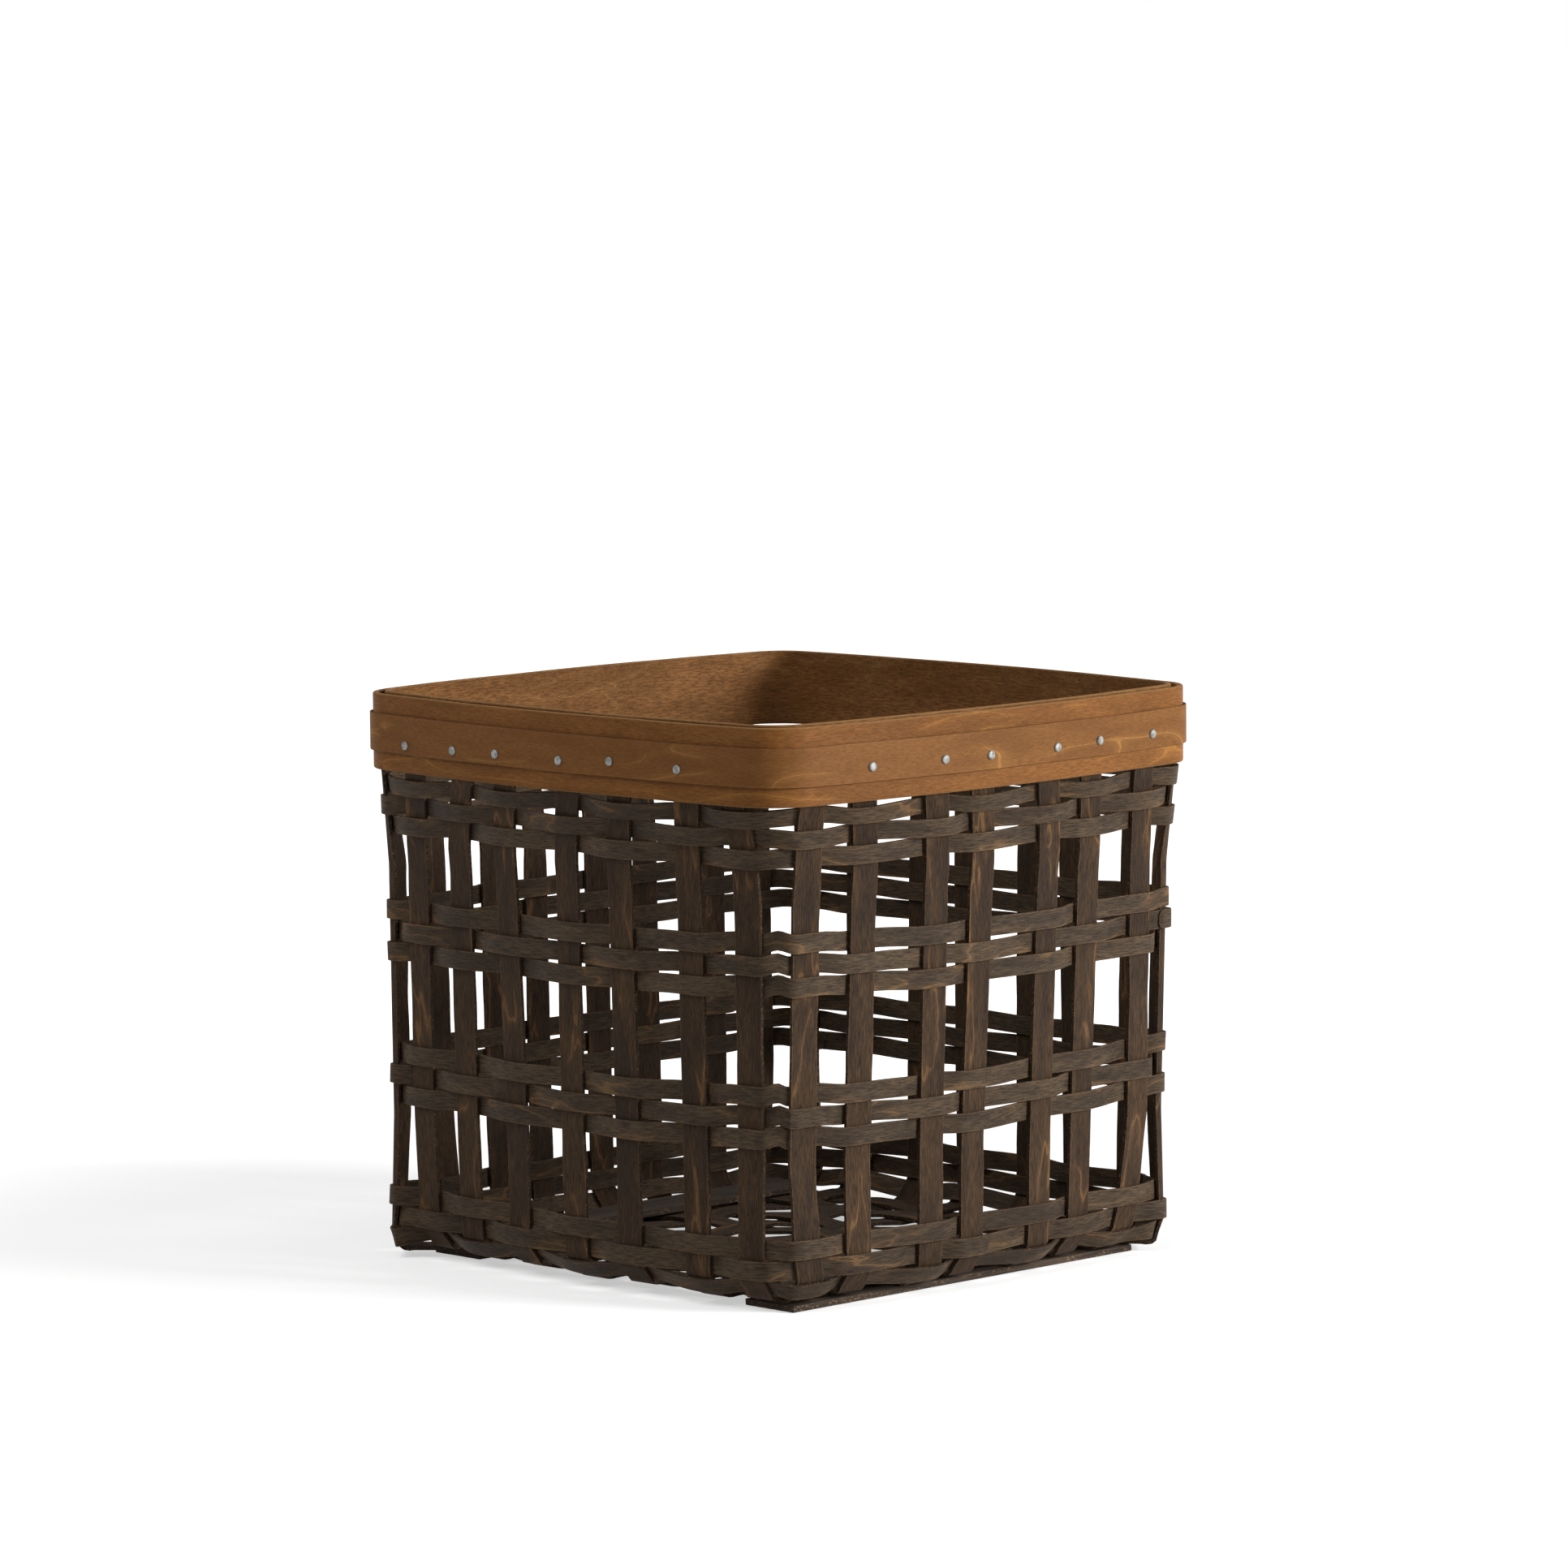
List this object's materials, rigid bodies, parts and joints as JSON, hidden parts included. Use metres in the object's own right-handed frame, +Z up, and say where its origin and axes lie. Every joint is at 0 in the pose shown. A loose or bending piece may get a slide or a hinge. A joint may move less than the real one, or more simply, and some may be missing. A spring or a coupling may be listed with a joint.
{
  "type": "splint basket",
  "caption": "Open square basket woven from flat wood splints, with a nailed double band round its rim and flat runners under its base.",
  "frame": {"origin": "centre of the base, on the floor under the runners", "axes": "+Z up, -Y the front, +X the right side"},
  "size_m": [0.3233, 0.3234, 0.285],
  "materials": {
    "splint_wood": "dark brown stained splints with fine lengthwise grain, matt",
    "band_wood": "medium brown stained band, satin",
    "trim_wood": "thin brown stained strip with lighter veins, satin",
    "board_wood": "dark stained boards with rough cut edges, matt",
    "tack_metal": "dull silvery domed heads"
  },
  "bodies": {
    "root": {"front_stake_1": "splint_wood", "front_stake_2": "splint_wood", "front_stake_3": "splint_wood", "front_stake_4": "splint_wood", "front_stake_5": "splint_wood", "front_stake_6": "splint_wood", "front_stake_7": "splint_wood", "side_stake_1": "splint_wood", "side_stake_2": "splint_wood", "side_stake_3": "splint_wood", "side_stake_4": "splint_wood", "side_stake_5": "splint_wood", "side_stake_6": "splint_wood", "side_stake_7": "splint_wood", "side_stake_8": "splint_wood", "weaver_01": "splint_wood", "weaver_02": "splint_wood", "weaver_03": "splint_wood", "weaver_04": "splint_wood", "weaver_05": "splint_wood", "weaver_06": "splint_wood", "weaver_07": "splint_wood", "weaver_08": "splint_wood", "weaver_09": "splint_wood", "weaver_10": "splint_wood", "weaver_11": "splint_wood", "weaver_12": "splint_wood", "outer_band": "band_wood", "inner_band": "band_wood", "trim_strip": "trim_wood", "tack_01": "tack_metal", "tack_02": "tack_metal", "tack_03": "tack_metal", "tack_04": "tack_metal", "tack_05": "tack_metal", "tack_06": "tack_metal", "tack_07": "tack_metal", "tack_08": "tack_metal", "tack_09": "tack_metal", "tack_10": "tack_metal", "tack_11": "tack_metal", "tack_12": "tack_metal", "tack_13": "tack_metal", "tack_14": "tack_metal", "tack_15": "tack_metal", "tack_16": "tack_metal", "tack_17": "tack_metal", "tack_18": "tack_metal", "tack_19": "tack_metal", "tack_20": "tack_metal", "tack_21": "tack_metal", "tack_22": "tack_metal", "tack_23": "tack_metal", "tack_24": "tack_metal", "left_runner": "board_wood", "right_runner": "board_wood", "left_slat": "board_wood", "right_slat": "board_wood"}
  },
  "joints": []
}
